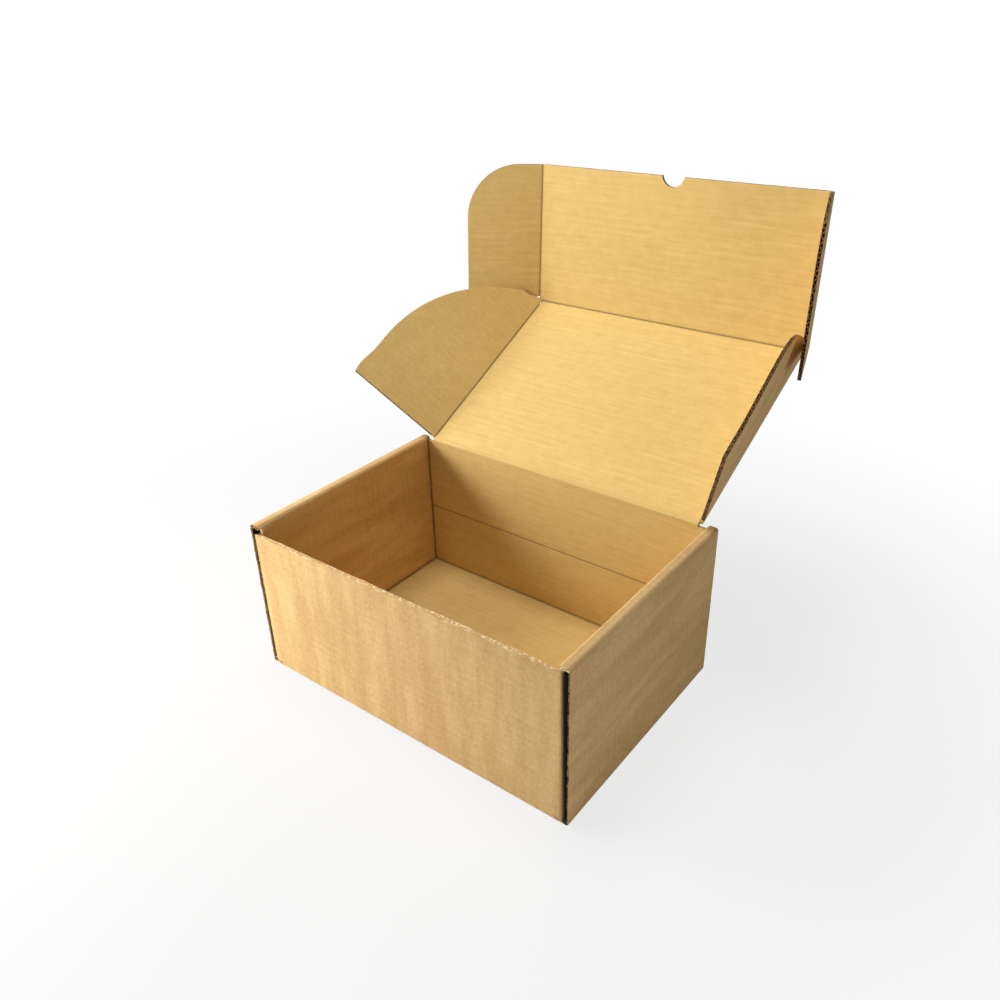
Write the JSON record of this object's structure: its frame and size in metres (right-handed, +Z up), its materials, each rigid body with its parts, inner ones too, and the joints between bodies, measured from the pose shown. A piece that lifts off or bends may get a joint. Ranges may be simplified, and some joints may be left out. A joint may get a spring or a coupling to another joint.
{
  "type": "corrugated mailer box",
  "caption": "A plain brown corrugated cardboard mailer box with rolled side walls and a hinged lid standing open, its side flaps, tuck flap and tuck ears half folded.",
  "frame": {"origin": "middle of the flat underside that the box stands on", "axes": "+X along the lid's hinge to the viewer's right, +Y from the front wall to the back wall with the hinge, +Z up"},
  "size_m": [0.3686, 0.3853, 0.3537],
  "materials": {
    "board": "matt uncoated kraft liner"
  },
  "bodies": {
    "tray": {"tray": "board"},
    "lid": {"lid_panel": "board"},
    "tuck": {"tuck_flap": "board"},
    "lid_flap_left": {"lid_flap_left": "board"},
    "lid_flap_right": {"lid_flap_right": "board"},
    "tuck_ear_left": {"tuck_ear_left": "board"},
    "tuck_ear_right": {"tuck_ear_right": "board"}
  },
  "joints": [
    {"name": "lid_hinge", "type": "hinge", "parent": "tray", "child": "lid", "pos_m": [0, 0.1001, 0.1351], "axis": [-1, 0, 0], "range_deg": [-105.8, 26.2]},
    {"name": "tuck_fold", "type": "hinge", "parent": "lid", "child": "tuck", "pos_m": [0, 0.2747, 0.22274], "axis": [1, 0, 0], "range_deg": [-7.21, 28.95]},
    {"name": "lid_flap_left_fold", "type": "hinge", "parent": "lid", "child": "lid_flap_left", "pos_m": [-0.1346, 0.18705, 0.17961], "axis": [0, 0.8973, 0.4415], "range_deg": [-16.89, 68.05]},
    {"name": "lid_flap_right_fold", "type": "hinge", "parent": "lid", "child": "lid_flap_right", "pos_m": [0.1346, 0.18705, 0.17961], "axis": [0, -0.8973, -0.4415], "range_deg": [-7.36, 29.55]},
    {"name": "tuck_ear_left_fold", "type": "hinge", "parent": "tuck", "child": "tuck_ear_left", "pos_m": [-0.138, 0.27776, 0.28769], "axis": [0, 0.0471, 0.9989], "range_deg": [-12.68, 51.05]},
    {"name": "tuck_ear_right_fold", "type": "hinge", "parent": "tuck", "child": "tuck_ear_right", "pos_m": [0.138, 0.27776, 0.28769], "axis": [0, -0.0471, -0.9989], "range_deg": [-4.01, 16.05]}
  ],
  "couplings": [
    {"joint": "tuck_fold", "follows": "lid_hinge", "ratio": -0.27316},
    {"joint": "lid_flap_left_fold", "follows": "lid_hinge", "ratio": -0.64272},
    {"joint": "lid_flap_right_fold", "follows": "lid_hinge", "ratio": -0.27883},
    {"joint": "tuck_ear_left_fold", "follows": "lid_hinge", "ratio": -0.48204},
    {"joint": "tuck_ear_right_fold", "follows": "lid_hinge", "ratio": -0.15123}
  ]
}
